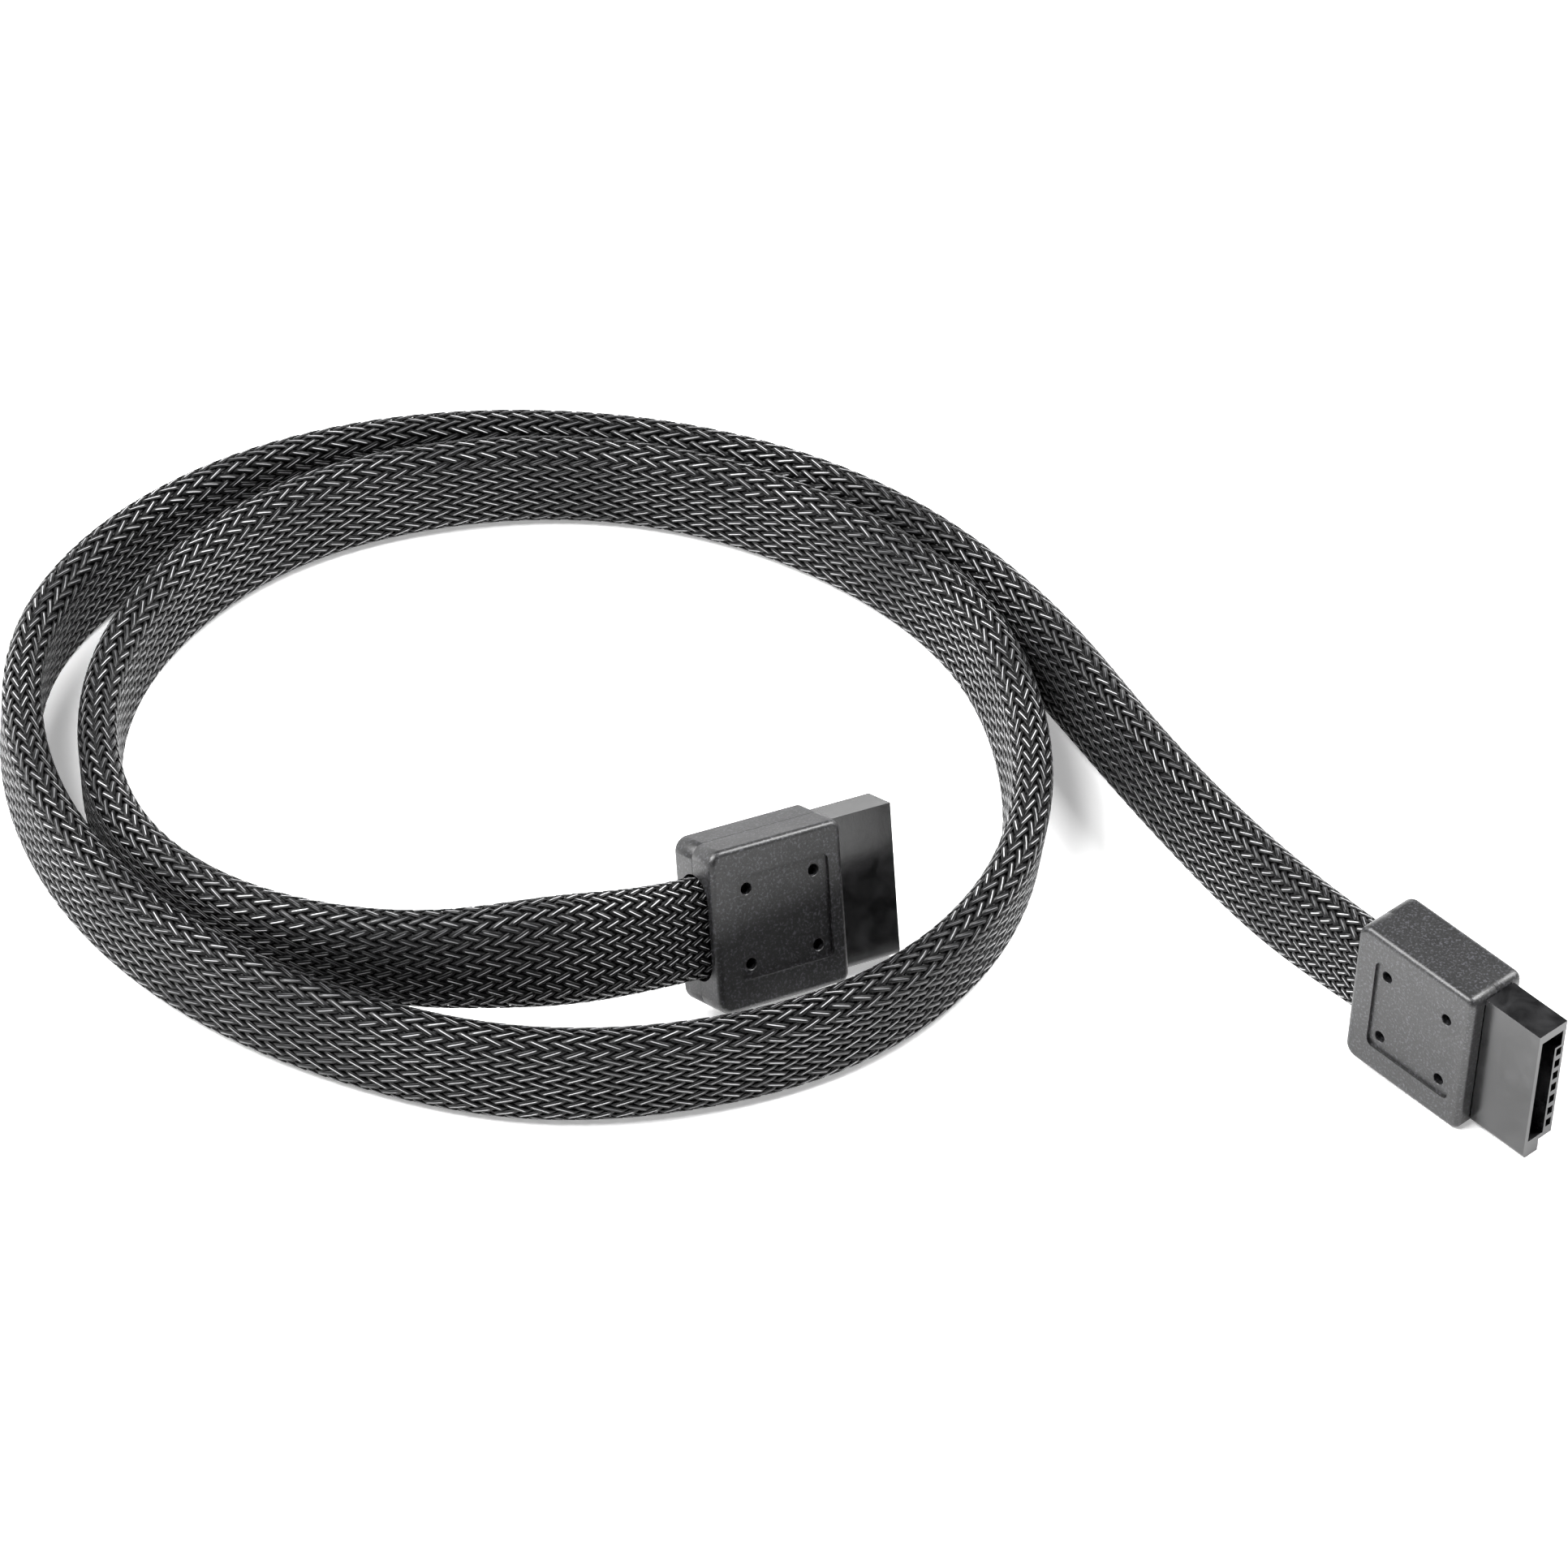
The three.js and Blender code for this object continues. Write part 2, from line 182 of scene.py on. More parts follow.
def mesh_piece(name, points, faces, uvs=None):
    """A smooth mesh object from arrays in millimetres, with a UV for each corner if given."""
    mesh = bpy.data.meshes.new(name)
    mesh.vertices.add(len(points))
    mesh.vertices.foreach_set("co", (points * MM).astype(np.float32).ravel())
    sides = faces.shape[1]
    mesh.loops.add(faces.size)
    mesh.loops.foreach_set("vertex_index", faces.astype(np.int32).ravel())
    mesh.polygons.add(len(faces))
    mesh.polygons.foreach_set("loop_start", np.arange(0, faces.size, sides, dtype=np.int32))
    mesh.update(calc_edges=True)
    if uvs is not None:
        layer = mesh.uv_layers.new(name="along_strand")
        layer.data.foreach_set("uv", uvs[faces].astype(np.float32).ravel())
    mesh.polygons.foreach_set("use_smooth", np.ones(len(faces), dtype=bool))
    piece = bpy.data.objects.new(name, mesh)
    bpy.context.collection.objects.link(piece)
    return piece


def tube_faces(rings, sides):
    """Quads between rings of points, ring by ring."""
    ring = np.arange(rings - 1)[:, None] * sides
    side = np.arange(sides)[None, :]
    after = (side + 1) % sides
    corners = [ring + side, ring + after, ring + sides + after, ring + sides + side]
    return np.stack(corners, axis=-1).reshape(-1, 4)


# Braid: 32 strands each way, two over and two under
STRANDS = 32
STRAND_WIDE = 0.5
STRAND_THICK = 0.18
STRAND_SIDES = 6
WAVE = 0.12  # how far a strand rises and falls
INSIDE = 0.04  # how far the tops of the arches lie inside the plain sleeve's face
BRAID_THICK = SLEEVE_THICK - 2 * (WAVE + INSIDE) - STRAND_THICK
BRAID_WIDE = SLEEVE_WIDE - 2 * (WAVE + INSIDE) - STRAND_THICK
BRAID_GIRTH = 2 * (BRAID_WIDE - BRAID_THICK) + math.pi * BRAID_THICK
STRAND_PITCH = BRAID_GIRTH / STRANDS
STRETCHED_ANGLE = math.radians(18.5)
BUNCHED_ANGLE = math.radians(32)
BUNCHED_OVER = 14  # length from a plug over which the braid opens out
SWELL, SWELL_AT, SWELL_OVER = 1.1, 14, 6.5  # it is this much thicker a little way from plug a
SWELL_ASIDE = 0.25  # share of the swell that goes into the width
# Where the braid stands off near plug a: side (1 top, -1 bottom), place, half length, amount
BULGES = [(1, 15, 7, 0.5), (-1, 26, 6, 0.35)]
LAY_SAMPLES = 4000
CROSSINGS_PER_WAVE = 4
HALF_WAVE = CROSSINGS_PER_WAVE / 2
ARCH_TOP = 0.5  # an arch's top lies between two crossings
# Over the two strands that it crosses a strand runs straight, then it dives. Places of its
# stations, and the half length of the straight part, in crossings from the top of its arch
FLOAT = 0.72
STATIONS = (0, FLOAT, HALF_WAVE - FLOAT, HALF_WAVE, HALF_WAVE + FLOAT, CROSSINGS_PER_WAVE - FLOAT)
LEAST_STEP = 0.02  # no station lies closer than this to an end of the strand


def braid_lay():
    """Lengths along the sleeve, and how far round it the strands have travelled there."""
    inset = CABLE_END - SLEEVE_END
    s = np.linspace(inset, route.length - inset, LAY_SAMPLES)
    from_plug = np.minimum(s - s[0], s[-1] - s)
    angle = STRETCHED_ANGLE + (BUNCHED_ANGLE - STRETCHED_ANGLE) * np.exp(-from_plug / BUNCHED_OVER)
    slope = np.tan(angle)
    travel = np.r_[0, np.cumsum((slope[1:] + slope[:-1]) / 2 * np.diff(s))]
    return s, travel


def braid_piece(name, sense, first, count):
    """Strands first to first + count of one hand as one piece."""
    lay_s, lay_travel = braid_lay()
    waves = np.arange(-1, lay_travel[-1] / (STRAND_PITCH / 2 * CROSSINGS_PER_WAVE) + 1)
    stations = waves[:, None] * CROSSINGS_PER_WAVE + sense * (np.array(STATIONS) + ARCH_TOP)
    travel = np.sort(stations.ravel()) * STRAND_PITCH / 2
    inside = (travel > LEAST_STEP) & (travel < lay_travel[-1] - LEAST_STEP)
    travel = np.r_[0, travel[inside], lay_travel[-1]]
    strand = np.arange(first, first + count)
    # where each strand passes over, counted in crossings
    crossing = 2 * strand[:, None] + sense * 2 * travel[None, :] / STRAND_PITCH
    from_top = np.abs(np.mod(crossing - ARCH_TOP + HALF_WAVE, CROSSINGS_PER_WAVE) - HALF_WAVE)
    rise = sense * WAVE * np.clip((1 - from_top) / (1 - FLOAT), -1, 1)
    girth = (strand[:, None] * STRAND_PITCH + sense * travel[None, :]) / BRAID_GIRTH
    s = np.broadcast_to(np.interp(travel, lay_travel, lay_s), girth.shape)

    half = STRAND_WIDE / 2 / BRAID_GIRTH
    slope = np.gradient(lay_travel, lay_s)
    angle = np.arctan(np.interp(s, lay_s, slope))
    around = -sense * np.arange(STRAND_SIDES) / STRAND_SIDES * math.tau
    corners = np.c_[-np.cos(around), -np.sin(around)]  # towards one edge, towards the crown
    rings = []
    for edge, crown in corners:
        girth_here = girth + edge * half * np.cos(angle)
        s_here = np.clip(s - sense * edge * STRAND_WIDE / 2 * np.sin(angle), 0, route.length)
        swell = SWELL * np.exp(-(((s_here - SWELL_AT) / SWELL_OVER) ** 2))
        thick, wide = BRAID_THICK + swell, BRAID_WIDE + swell * SWELL_ASIDE
        x, y, out_x, out_y = section(girth_here, thick, wide)
        share = y / (BRAID_WIDE / 2)
        for side, at, over, amount in BULGES:
            y = y + side * amount * (1 + side * share) / 2 * np.exp(-(((s_here - at) / over) ** 2))
        middle, through, across = route.frames(s_here)
        lift = rise + crown * STRAND_THICK / 2
        x = (x + out_x * lift)[..., None]
        y = (y + out_y * lift)[..., None]
        rings.append(middle + through * x + across * y)
    points = np.stack(rings, axis=2)
    per_strand, sides = len(travel), len(corners)
    faces = tube_faces(per_strand, sides)
    all_faces = (faces[None] + np.arange(count)[:, None, None] * per_strand * sides).reshape(-1, 4)
    # one unit for each time that a strand has passed over and under, 0 at the top of its arch
    arch = (crossing - ARCH_TOP) / CROSSINGS_PER_WAVE + (0 if sense > 0 else 0.5)
    along = np.broadcast_to(arch[..., None], points.shape[:3])
    side_uv = np.broadcast_to(corners[:, 0] * 0.5 + 0.5, points.shape[:3])
    uvs = np.stack([side_uv, along], axis=-1).reshape(-1, 2)
    piece = mesh_piece(name, points.reshape(-1, 3), all_faces, uvs)
    close_ends(piece)
    finish_piece(piece, MATERIALS["braid_right" if sense > 0 else "braid_left"])
    return piece


JACKET_THICK = 2.3
JACKET_WIDE = 7.4
JACKET_SLACK = 0.4  # how much narrower it is than the room in the braid
JACKET_SAG = 0.22  # it lies on the lower side of the braid
JACKET_SIDES = 24
JACKET_STEP = 1.5
WAIST = 0.25  # how deep the furrow between the two pairs is, as a share of the thickness
WAIST_OVER = 0.6  # half its width


def jacket_piece():
    rings = int(route.length / JACKET_STEP)
    s = np.linspace(0, route.length, rings)[:, None]
    girth = (np.arange(JACKET_SIDES) / JACKET_SIDES)[None, :] + np.zeros_like(s)
    x, y, _, _ = section(girth, JACKET_THICK, JACKET_WIDE - JACKET_SLACK)
    x = x * (1 - WAIST * np.exp(-(y / WAIST_OVER) ** 2))
    from_plug = np.minimum(s, route.length - s)
    y = y - JACKET_SAG * (1 - np.exp(-(from_plug / STRAIGHT) ** 2))
    middle, through, across = route.frames(s + np.zeros_like(x))
    points = middle + through * x[..., None] + across * y[..., None]
    piece = mesh_piece("cable_jacket_fine", points.reshape(-1, 3), tube_faces(rings, JACKET_SIDES))
    close_ends(piece)
    finish_piece(piece, MATERIALS["jacket"])
    return piece


def close_ends(piece):
    bm = bmesh.new()
    bm.from_mesh(piece.data)
    bmesh.ops.holes_fill(bm, edges=[e for e in bm.edges if e.is_boundary], sides=0)
    bmesh.ops.recalc_face_normals(bm, faces=bm.faces)
    bm.to_mesh(piece.data)
    bm.free()


def finish_piece(piece, material):
    piece.data.materials.clear()
    piece.data.materials.append(material)
    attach(piece, "root")


# Materials
# Places of a colour mix's own sockets, which lie among those for numbers and vectors
MIX_SHARE, MIX_A, MIX_B, MIX_RESULT = 0, 6, 7, 2


def linear(hex_colour):
    """sRGB hex to the linear colour that the shaders take."""
    parts = [int(hex_colour[i : i + 2], 16) / 255 for i in (1, 3, 5)]
    curve = [c / 12.92 if c <= 0.04045 else ((c + 0.055) / 1.055) ** 2.4 for c in parts]
    return (*curve, 1.0)


def add(material, kind, inputs=None, stops=(), **settings):
    """Adds a node; an input is a value, or the (node, output) that feeds it.

    The stops of a colour ramp are given as (place, hex colour).
    """
    tree = material.node_tree
    node = tree.nodes.new(kind)
    for i, (place, colour) in enumerate(stops):
        element = node.color_ramp.elements[i] if i < 2 else node.color_ramp.elements.new(place)
        element.position = place
        element.color = linear(colour)
    for name, value in settings.items():
        setattr(node, name, value)
    for name, value in (inputs or {}).items():
        if isinstance(value, tuple) and len(value) == 2 and hasattr(value[0], "outputs"):
            tree.links.new(value[0].outputs[value[1]], node.inputs[name])
        else:
            node.inputs[name].default_value = value
    return node


def new_material(name):
    material = bpy.data.materials.new(name)
    material.use_nodes = True
    material.node_tree.nodes.clear()
    return material


def spark_textured_abs():
    # Moulded in a spark-eroded tool: a pitted grain that sparkles where light rakes it. The real
    # grain is finer, and is drawn this coarse so that it shows.
    grain_mm, patch_mm = 0.2, 3.5
    m = new_material("spark_textured_abs")
    place = add(m, "ShaderNodeTexCoord")
    grain = add(m, "ShaderNodeTexNoise", {
        "Vector": (place, "Object"), "Scale": 1 / (grain_mm * MM),
        "Detail": 2.0, "Roughness": 0.6})
    patches = add(m, "ShaderNodeTexNoise", {
        "Vector": (place, "Object"), "Scale": 1 / (patch_mm * MM), "Detail": 2.0})
    colour = add(m, "ShaderNodeValToRGB", {"Fac": (grain, "Fac")}, stops=[
        (0.4, "#0b0b0c"), (0.54, "#131314"), (0.66, "#3a3a3e")])
    rough = add(m, "ShaderNodeMapRange", {
        "Value": (patches, "Fac"), "To Min": 0.36, "To Max": 0.48})
    bump = add(m, "ShaderNodeBump", {
        "Height": (grain, "Fac"), "Strength": 0.5, "Distance": 0.03 * MM})
    shader = add(m, "ShaderNodeBsdfPrincipled", {
        "Base Color": (colour, "Color"), "Roughness": (rough, "Result"),
        "Normal": (bump, "Normal"), "IOR": 1.58, "Specular IOR Level": 0.52})
    add(m, "ShaderNodeOutputMaterial", {"Surface": (shader, "BSDF")})
    return m


def moulded_pbt():
    # Moulded in a polished tool: an even satin black with faint flow marks.
    flow_mm, grain_mm = 2.0, 0.15
    m = new_material("moulded_pbt")
    place = add(m, "ShaderNodeTexCoord")
    flow = add(m, "ShaderNodeTexNoise", {
        "Vector": (place, "Object"), "Scale": 1 / (flow_mm * MM),
        "Detail": 4.0, "Distortion": 0.6})
    grain = add(m, "ShaderNodeTexNoise", {
        "Vector": (place, "Object"), "Scale": 1 / (grain_mm * MM), "Detail": 2.0})
    colour = add(m, "ShaderNodeValToRGB", {"Fac": (flow, "Fac")}, stops=[
        (0.4, "#09090a"), (0.75, "#232324")])
    rough = add(m, "ShaderNodeMapRange", {"Value": (flow, "Fac"), "To Min": 0.14, "To Max": 0.3})
    bump = add(m, "ShaderNodeBump", {
        "Height": (grain, "Fac"), "Strength": 0.15, "Distance": 0.02 * MM})
    shader = add(m, "ShaderNodeBsdfPrincipled", {
        "Base Color": (colour, "Color"), "Roughness": (rough, "Result"),
        "Normal": (bump, "Normal"), "IOR": 1.6, "Specular IOR Level": 0.48})
    add(m, "ShaderNodeOutputMaterial", {"Surface": (shader, "BSDF")})
    return m


def pet_monofilament(hand, highlight_patch_offset_mm):
    # Drawn PET threads side by side: a thin bright line painted along the middle of each arch
    # stands in for the highlight on its crown.
    highlight_patch_mm = 14  # the painted highlight line is brighter in patches a centimetre or two long
    m = new_material("pet_monofilament_" + hand)
    uv = add(m, "ShaderNodeUVMap", uv_map="along_strand")
    apart = add(m, "ShaderNodeSeparateXYZ", {"Vector": (uv, "UV")})
    aside = add(m, "ShaderNodeMath", {0: (apart, "X"), 1: 0.5}, operation="SUBTRACT")
    aside = add(m, "ShaderNodeMath", {0: (aside, "Value")}, operation="ABSOLUTE")
    # painted highlight: a thin bright line along the middle of the strand
    painted_highlight_line = add(m, "ShaderNodeValToRGB", {"Fac": (aside, "Value")}, stops=[
        (0.0, "#ffffff"), (0.03, "#ffffff"), (0.085, "#000000")])
    # the painted highlight shows only on the upper part of each arch
    angle = add(m, "ShaderNodeMath", {0: (apart, "Y"), 1: math.tau}, operation="MULTIPLY")
    height = add(m, "ShaderNodeMath", {0: (angle, "Value")}, operation="COSINE")
    painted_highlight_crest = add(m, "ShaderNodeMapRange", {
        "Value": (height, "Value"), "From Min": 0.3, "From Max": 0.6})
    painted_highlight_share = add(m, "ShaderNodeMath", {
        0: (painted_highlight_line, "Color"), 1: (painted_highlight_crest, "Result")}, operation="MULTIPLY")
    place = add(m, "ShaderNodeTexCoord")
    # painted highlight: brighter and dimmer patches, shifted for each hand so that the two hands
    # light up in different places
    shifted = add(m, "ShaderNodeMapping", {
        "Vector": (place, "Object"), "Location": (highlight_patch_offset_mm * MM, 0.0, 0.0)})
    painted_highlight_patches = add(m, "ShaderNodeTexNoise", {
        "Vector": (shifted, "Vector"), "Scale": 1 / (highlight_patch_mm * MM),
        "Detail": 1.0, "Roughness": 0.4})
    # tone of the painted highlight line, from mid grey to near white
    clear = add(m, "ShaderNodeValToRGB", {"Fac": (painted_highlight_patches, "Fac")}, stops=[
        (0.36, "#58585a"), (0.62, "#d2d2d4")])
    stretch = add(m, "ShaderNodeMapping", {"Vector": (uv, "UV"), "Scale": (9.0, 0.7, 1.0)})
    lines = add(m, "ShaderNodeTexNoise", {
        "Vector": (stretch, "Vector"), "Scale": 1.0, "Detail": 2.0})
    dark = add(m, "ShaderNodeValToRGB", {"Fac": (lines, "Fac")}, stops=[
        (0.3, "#050505"), (0.7, "#161617")])
    # the strand's own dark colour, with the painted highlight line laid over it
    colour = add(m, "ShaderNodeMix", {
        MIX_SHARE: (painted_highlight_share, "Value"), MIX_A: (dark, "Color"), MIX_B: (clear, "Color")},
        data_type="RGBA")
    rough = add(m, "ShaderNodeMapRange", {"Value": (lines, "Fac"), "To Min": 0.3, "To Max": 0.45})
    shader = add(m, "ShaderNodeBsdfPrincipled", {
        "Base Color": (colour, MIX_RESULT), "Roughness": (rough, "Result"), "IOR": 1.5,
        "Specular IOR Level": 0.22})
    add(m, "ShaderNodeOutputMaterial", {"Surface": (shader, "BSDF")})
    return m


def extruded_vinyl():
    # Extruded PVC: a satin dark grey, faintly mottled.
    mottle_mm = 0.8
    m = new_material("extruded_vinyl")
    place = add(m, "ShaderNodeTexCoord")
    mottle = add(m, "ShaderNodeTexNoise", {
        "Vector": (place, "Object"), "Scale": 1 / (mottle_mm * MM), "Detail": 3.0})
    colour = add(m, "ShaderNodeValToRGB", {"Fac": (mottle, "Fac")}, stops=[
        (0.3, "#1e1e20"), (0.7, "#2e2e30")])
    bump = add(m, "ShaderNodeBump", {
        "Height": (mottle, "Fac"), "Strength": 0.15, "Distance": 0.05 * MM})
    shader = add(m, "ShaderNodeBsdfPrincipled", {
        "Base Color": (colour, "Color"), "Roughness": 0.35,
        "Normal": (bump, "Normal"), "IOR": 1.53})
    add(m, "ShaderNodeOutputMaterial", {"Surface": (shader, "BSDF")})
    return m


def metal(name, light, dark, rough, mark_mm):
    m = new_material(name)
    place = add(m, "ShaderNodeTexCoord")
    marks = add(m, "ShaderNodeTexNoise", {
        "Vector": (place, "Object"), "Scale": 1 / (mark_mm * MM), "Detail": 3.0})
    colour = add(m, "ShaderNodeValToRGB", {"Fac": (marks, "Fac")}, stops=[
        (0.3, dark), (0.7, light)])
    finish = add(m, "ShaderNodeMapRange", {
        "Value": (marks, "Fac"), "To Min": rough - 0.06, "To Max": rough + 0.08})
    bump = add(m, "ShaderNodeBump", {
        "Height": (marks, "Fac"), "Strength": 0.1, "Distance": 0.02 * MM})
    shader = add(m, "ShaderNodeBsdfPrincipled", {
        "Base Color": (colour, "Color"), "Metallic": 1.0, "Roughness": (finish, "Result"),
        "Normal": (bump, "Normal")})
    add(m, "ShaderNodeOutputMaterial", {"Surface": (shader, "BSDF")})
    return m


MATERIALS = {
    "grip": spark_textured_abs(),
    "nose": moulded_pbt(),
    # the two hands take their painted highlight patches from differently shifted noise
    "braid_right": pet_monofilament("right", 0),
    "braid_left": pet_monofilament("left", 300),
    "jacket": extruded_vinyl(),
    # Stamped phosphor bronze with a gold flash: warm, bright and slightly brushed
    "contact": metal("gold_flashed_bronze", "#d9b565", "#b98f43", 0.28, 0.3),
    # Wrapped aluminium foil: bright grey with soft creases
    "foil": metal("wrapped_foil", "#c8cacd", "#9a9ca0", 0.35, 0.8),
}


# Plugs
GRIP_REAR_CORNER = 1.2
GRIP_FRONT_CORNER = 0.8
GRIP_EDGE = 0.5
PANEL = {"long": 8.8, "wide": 8.9, "middle": -5.8, "deep": 0.25, "corner": 0.6}
PIN_HOLE_RADIUS = 0.5
PIN_HOLE_PITCH = 6.4
PIN_HOLE_MIDDLE = -5.9
HOLE_SOFT = 0.04
PARTING_WIDE = 0.05
PARTING_DEEP = 0.025
OPENING_CLEAR = 0.45  # dark gap round the sleeve where it goes into the grip
NOSE_LONG, NOSE_THICK, NOSE_WIDE, NOSE_OFFSET = 5.75, 3.15, 13.1, 0.18
ROOT_LONG, ROOT_THICK, ROOT_WIDE = 3, 2.9, 11.6
MOULD_THICK, MOULD_WIDE = 3.3, 11
NOTCH_WIDE, NOTCH_THICK = 1.2, 1.45
KEYWAY = {
    "near_wall": 0.4, "slot": 1.7, "top_wall": 0.85, "long": 10.57,
    "leg": 2.4, "leg_wide": 1.5, "deep": 5.4}
CONTACTS = {"count": 7, "pitch": 1.27, "first": 3.58, "wide": 0.5, "thick": 0.3, "from": 2.45}
CONTACT_CLEAR = 0.14
NOSE_START = 0.02  # just clear of the grip's front face
NOSE_CORNER = 0.5  # its lower near edge
NOSE_EDGE = 0.06
ROOT_INTO_NOSE = 0.5
CUT = 1  # how far a tool stands out of the face that it cuts
MERGE = 0.002  # points closer than this become one
SHARP_OVER = math.radians(35)


def box_bm(low, high):
    bm = bmesh.new()
    bmesh.ops.create_cube(bm, size=1)
    low, high = Vector(low), Vector(high)
    bmesh.ops.scale(bm, vec=high - low, verts=bm.verts)
    bmesh.ops.translate(bm, vec=(low + high) / 2, verts=bm.verts)
    return bm


def bevel(bm, edges, width, segments):
    bmesh.ops.bevel(
        bm, geom=edges, offset=width, offset_type="OFFSET", affect="EDGES",
        segments=segments, profile=0.5, material=-1)


def edges_along(bm, axis):
    """Straight edges that run along one axis of the plug's frame."""
    parallel = 0.999
    return [e for e in bm.edges
            if abs((e.verts[1].co - e.verts[0].co).normalized()[axis]) > parallel]


def oval_bm(thick, wide, x0, x1):
    """A flat oval bar along the cable, from x0 to x1."""
    bm = box_bm((x0, -thick / 2, -wide / 2), (x1, thick / 2, wide / 2))
    short_of_half = 0.001  # two full quarter rounds would meet in one line
    bevel(bm, edges_along(bm, 0), thick / 2 - short_of_half, 10)
    return bm


def object_of(name, bm):
    mesh = bpy.data.meshes.new(name)
    bm.to_mesh(mesh)
    bm.free()
    piece = bpy.data.objects.new(name, mesh)
    bpy.context.collection.objects.link(piece)
    return piece


def combine(piece, tool_bm, operation="DIFFERENCE"):
    """Cuts a solid out of the piece, or joins one to it."""
    tool = object_of("tool", tool_bm)
    modifier = piece.modifiers.new("combine", "BOOLEAN")
    modifier.operation = operation
    modifier.solver = "EXACT"
    modifier.object = tool
    graph = bpy.context.evaluated_depsgraph_get()
    made = bpy.data.meshes.new_from_object(piece.evaluated_get(graph))
    piece.modifiers.clear()
    old = piece.data
    piece.data = made
    bpy.data.meshes.remove(old)
    bpy.data.objects.remove(tool)


def settle(piece, plug):
    """Moves a piece made in the plug's frame to its place and smooths its rounded edges."""
    bm = bmesh.new()
    bm.from_mesh(piece.data)
    bmesh.ops.remove_doubles(bm, verts=bm.verts, dist=MERGE)
    bmesh.ops.dissolve_degenerate(bm, dist=MERGE, edges=bm.edges)
    for face in bm.faces:
        face.smooth = True
    for edge in bm.edges:
        edge.smooth = len(edge.link_faces) == 2 and edge.calc_face_angle(0) < SHARP_OVER
    bm.to_mesh(piece.data)
    bm.free()
    piece.data.transform(Matrix.Scale(MM, 4) @ plug_matrix(plug))


def grip_body():
    bm = box_bm((-GRIP_LONG, -GRIP_THICK / 2, -GRIP_WIDE / 2), (0, GRIP_THICK / 2, GRIP_WIDE / 2))
    middle = -GRIP_LONG / 2
    rear = [e for e in edges_along(bm, 1) if e.verts[0].co.x < middle]
    bevel(bm, rear, GRIP_REAR_CORNER, 10)
    front = [e for e in edges_along(bm, 1) if e.verts[0].co.x > middle]
    bevel(bm, front, GRIP_FRONT_CORNER, 8)
    upright = set(edges_along(bm, 1))
    bevel(bm, [e for e in bm.edges if e not in upright], GRIP_EDGE, 6)
    # the line where the two halves of the tool met
    touching = 1e-5
    for i in (-1, 0, 1):
        geom = [*bm.verts, *bm.edges, *bm.faces]
        bmesh.ops.bisect_plane(
            bm, geom=geom, dist=touching, plane_co=(0, i * PARTING_WIDE, 0), plane_no=(0, 1, 0))
    bm.normal_update()
    for vert in bm.verts:
        if abs(vert.co.y) < 10 * touching:
            vert.co -= vert.normal * PARTING_DEEP
    return bm


def panel_bm():
    """What the sunk panel takes out of the large face."""
    half = PANEL["wide"] / 2
    x0, x1 = PANEL["middle"] - PANEL["long"] / 2, PANEL["middle"] + PANEL["long"] / 2
    face = -GRIP_THICK / 2
    bm = box_bm((x0, face - CUT, -half), (x1, face + PANEL["deep"], half))
    bevel(bm, edges_along(bm, 1), PANEL["corner"], 6)
    return bm


def grip_piece(end, plug):
    piece = object_of("grip_fine_" + end, grip_body())
    combine(piece, panel_bm())
    combine(piece, oval_bm(SLEEVE_THICK + OPENING_CLEAR, SLEEVE_WIDE + OPENING_CLEAR,
                           -GRIP_LONG - CUT, -GRIP_LONG + POCKET_DEEP))
    combine(piece, oval_bm(JACKET_THICK + 2 * GAP, JACKET_WIDE + 2 * GAP,
                           -GRIP_LONG - CUT, CABLE_END + CUT))
    y, z = MOULD_THICK / 2 + GAP, MOULD_WIDE / 2 + GAP
    combine(piece, box_bm((CABLE_END, -y, -z), (-ROOT_LONG, y, z)))
    y, z = ROOT_THICK / 2 + GAP, ROOT_WIDE / 2 + GAP
    combine(piece, box_bm((-ROOT_LONG - 2 * GAP, NOSE_OFFSET - y, -z), (CUT, NOSE_OFFSET + y, z)))
    for x in (-0.5, 0.5):
        for z in (-0.5, 0.5):
            combine(piece, pin_hole_bm(PIN_HOLE_MIDDLE + x * PIN_HOLE_PITCH, z * PIN_HOLE_PITCH))
    settle(piece, plug)
    even = piece.modifiers.new("flat_faces_stay_flat", "WEIGHTED_NORMAL")
    even.weight = 100
    even.keep_sharp = True
    finish_piece(piece, MATERIALS["grip"])
    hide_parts("grip_" + end)


def pin_hole_bm(x, z):
    """A round hole with a softened rim, from the large face down to the inner mould."""
    face = GRIP_THICK / 2 - PANEL["deep"]
    rim = PIN_HOLE_RADIUS + HOLE_SOFT
    outline = [
        (0, face + CUT), (rim, face + CUT), (rim, face), (PIN_HOLE_RADIUS, face - HOLE_SOFT),
        (PIN_HOLE_RADIUS, MOULD_THICK / 2), (0, MOULD_THICK / 2)]
    bm = bmesh.new()
    verts = [bm.verts.new((radius, 0, height)) for radius, height in outline]
    edges = [bm.edges.new(pair) for pair in zip(verts, verts[1:])]
    bmesh.ops.spin(
        bm, geom=[*verts, *edges], cent=(0, 0, 0), axis=(0, 0, 1), angle=math.tau,
        steps=28, use_merge=True)
    bmesh.ops.remove_doubles(bm, verts=bm.verts, dist=1e-4)
    bmesh.ops.recalc_face_normals(bm, faces=bm.faces)
    quarter = Matrix.Rotation(math.pi / 2, 3, "X")
    bmesh.ops.rotate(bm, verts=bm.verts, cent=(0, 0, 0), matrix=quarter)
    bmesh.ops.translate(bm, vec=(x, 0, z), verts=bm.verts)
    return bm


